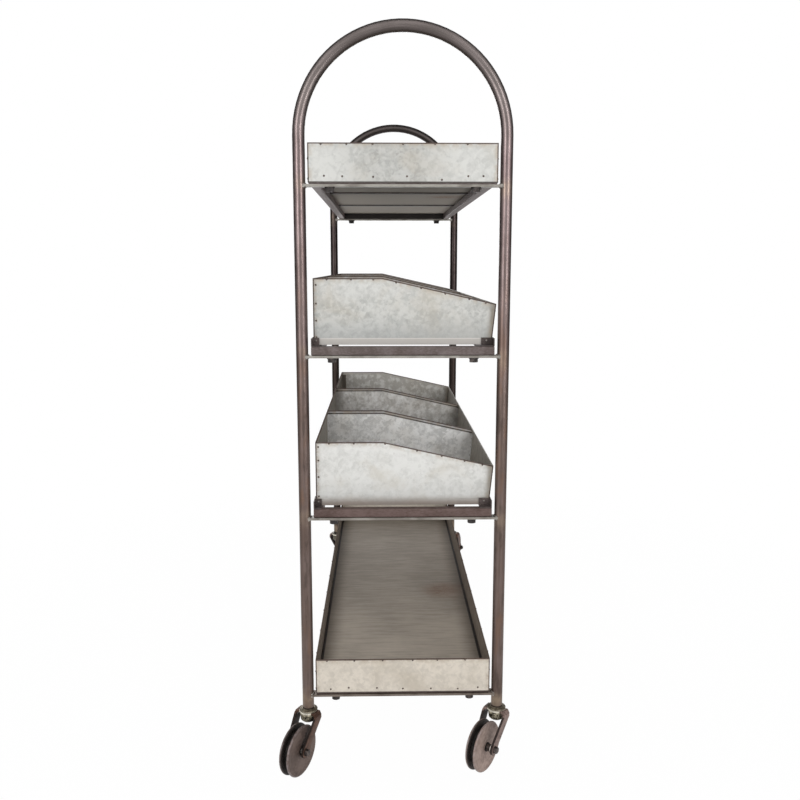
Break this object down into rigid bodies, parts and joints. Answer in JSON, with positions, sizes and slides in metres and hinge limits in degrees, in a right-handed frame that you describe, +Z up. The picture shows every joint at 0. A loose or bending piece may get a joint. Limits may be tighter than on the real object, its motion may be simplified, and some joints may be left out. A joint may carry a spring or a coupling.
{
  "type": "rolling pantry cart",
  "caption": "Free-standing shelving cart: arched tube end frames, sheet-metal trays at top and bottom, divided sloping bins between, on grooved swivel casters.",
  "frame": {"origin": "on the floor, under the middle of the cart", "axes": "+X along the cart's length, -Y to the front (the low side of the bins), +Z up"},
  "size_m": [1.4822, 0.5326, 1.5998],
  "materials": {
    "tube_steel": "lacquered raw steel tube, brown-grey, satin",
    "bar_steel": "lacquered mill-scale steel bar and tube",
    "zinc_sheet": "spangled zinc-coated sheet, dulled and stained",
    "black_fastener": "blackened steel hardware",
    "bright_steel": "bright steel",
    "caster_bronze": "antiqued bronze-coloured steel",
    "wheel_steel": "antiqued brown steel",
    "wheel_core": "dark oxidised steel"
  },
  "bodies": {
    "cart": {"left_end_arch": "tube_steel", "right_end_arch": "tube_steel", "left_crossbars": "bar_steel", "right_crossbars": "bar_steel", "bottom_shelf_side_rails": "bar_steel", "bottom_shelf_end_rails": "bar_steel", "bottom_shelf_cross_bars": "bar_steel", "lower_bin_shelf_side_rails": "bar_steel", "lower_bin_shelf_end_rails": "bar_steel", "lower_bin_shelf_cross_bars": "bar_steel", "upper_bin_shelf_side_rails": "bar_steel", "upper_bin_shelf_end_rails": "bar_steel", "upper_bin_shelf_cross_bars": "bar_steel", "top_shelf_side_rails": "bar_steel", "top_shelf_end_rails": "bar_steel", "top_shelf_cross_bars": "bar_steel", "bottom_tray_floor": "zinc_sheet", "bottom_tray_front_wall": "zinc_sheet", "bottom_tray_back_wall": "zinc_sheet", "bottom_tray_end_panels": "zinc_sheet", "top_tray_floor": "zinc_sheet", "top_tray_front_wall": "zinc_sheet", "top_tray_back_wall": "zinc_sheet", "top_tray_end_panels": "zinc_sheet", "lower_bin_floor": "zinc_sheet", "lower_bin_front_wall": "zinc_sheet", "lower_bin_back_wall": "zinc_sheet", "lower_bin_end_panels": "zinc_sheet", "lower_bin_dividers": "zinc_sheet", "lower_bin_corner_brackets": "bar_steel", "upper_bin_floor": "zinc_sheet", "upper_bin_front_wall": "zinc_sheet", "upper_bin_back_wall": "zinc_sheet", "upper_bin_end_panels": "zinc_sheet", "upper_bin_dividers": "zinc_sheet", "upper_bin_corner_brackets": "bar_steel", "shelf_bolts": "black_fastener", "shelf_bolt_washers": "black_fastener", "shelf_bolt_inserts": "bright_steel", "caster_stems": "caster_bronze", "caster_top_cups": "caster_bronze", "caster_lower_cups": "caster_bronze", "caster_bearing_balls": "bright_steel"},
    "back_left_caster": {"back_left_fork": "wheel_steel", "back_left_axle": "black_fastener"},
    "back_left_wheel": {"back_left_wheel_discs": "wheel_steel", "back_left_wheel_core": "wheel_core"},
    "front_left_caster": {"front_left_fork": "wheel_steel", "front_left_axle": "black_fastener"},
    "front_left_wheel": {"front_left_wheel_discs": "wheel_steel", "front_left_wheel_core": "wheel_core"},
    "back_right_caster": {"back_right_fork": "wheel_steel", "back_right_axle": "black_fastener"},
    "back_right_wheel": {"back_right_wheel_discs": "wheel_steel", "back_right_wheel_core": "wheel_core"},
    "front_right_caster": {"front_right_fork": "wheel_steel", "front_right_axle": "black_fastener"},
    "front_right_wheel": {"front_right_wheel_discs": "wheel_steel", "front_right_wheel_core": "wheel_core"}
  },
  "joints": [
    {"name": "back_left_swivel", "type": "hinge", "parent": "cart", "child": "back_left_caster", "pos_m": [-0.64, 0.2123, 0.126], "axis": [0, 0, 1], "continuous": true},
    {"name": "back_left_roll", "type": "hinge", "parent": "back_left_caster", "child": "back_left_wheel", "pos_m": [-0.68394, 0.23616, 0.056], "axis": [-0.4772, -0.8788, 0], "continuous": true},
    {"name": "front_left_swivel", "type": "hinge", "parent": "cart", "child": "front_left_caster", "pos_m": [-0.64, -0.2123, 0.126], "axis": [0, 0, 1], "continuous": true},
    {"name": "front_left_roll", "type": "hinge", "parent": "front_left_caster", "child": "front_left_wheel", "pos_m": [-0.67993, -0.18221, 0.056], "axis": [-0.6018, -0.7986, 0], "continuous": true},
    {"name": "back_right_swivel", "type": "hinge", "parent": "cart", "child": "back_right_caster", "pos_m": [0.64, 0.2123, 0.126], "axis": [0, 0, 1], "continuous": true},
    {"name": "back_right_roll", "type": "hinge", "parent": "back_right_caster", "child": "back_right_wheel", "pos_m": [0.68698, 0.1952, 0.056], "axis": [0.342, 0.9397, 0], "continuous": true},
    {"name": "front_right_swivel", "type": "hinge", "parent": "cart", "child": "front_right_caster", "pos_m": [0.64, -0.2123, 0.126], "axis": [0, 0, 1], "continuous": true},
    {"name": "front_right_roll", "type": "hinge", "parent": "front_right_caster", "child": "front_right_wheel", "pos_m": [0.68698, -0.2294, 0.056], "axis": [0.342, 0.9397, 0], "continuous": true}
  ]
}
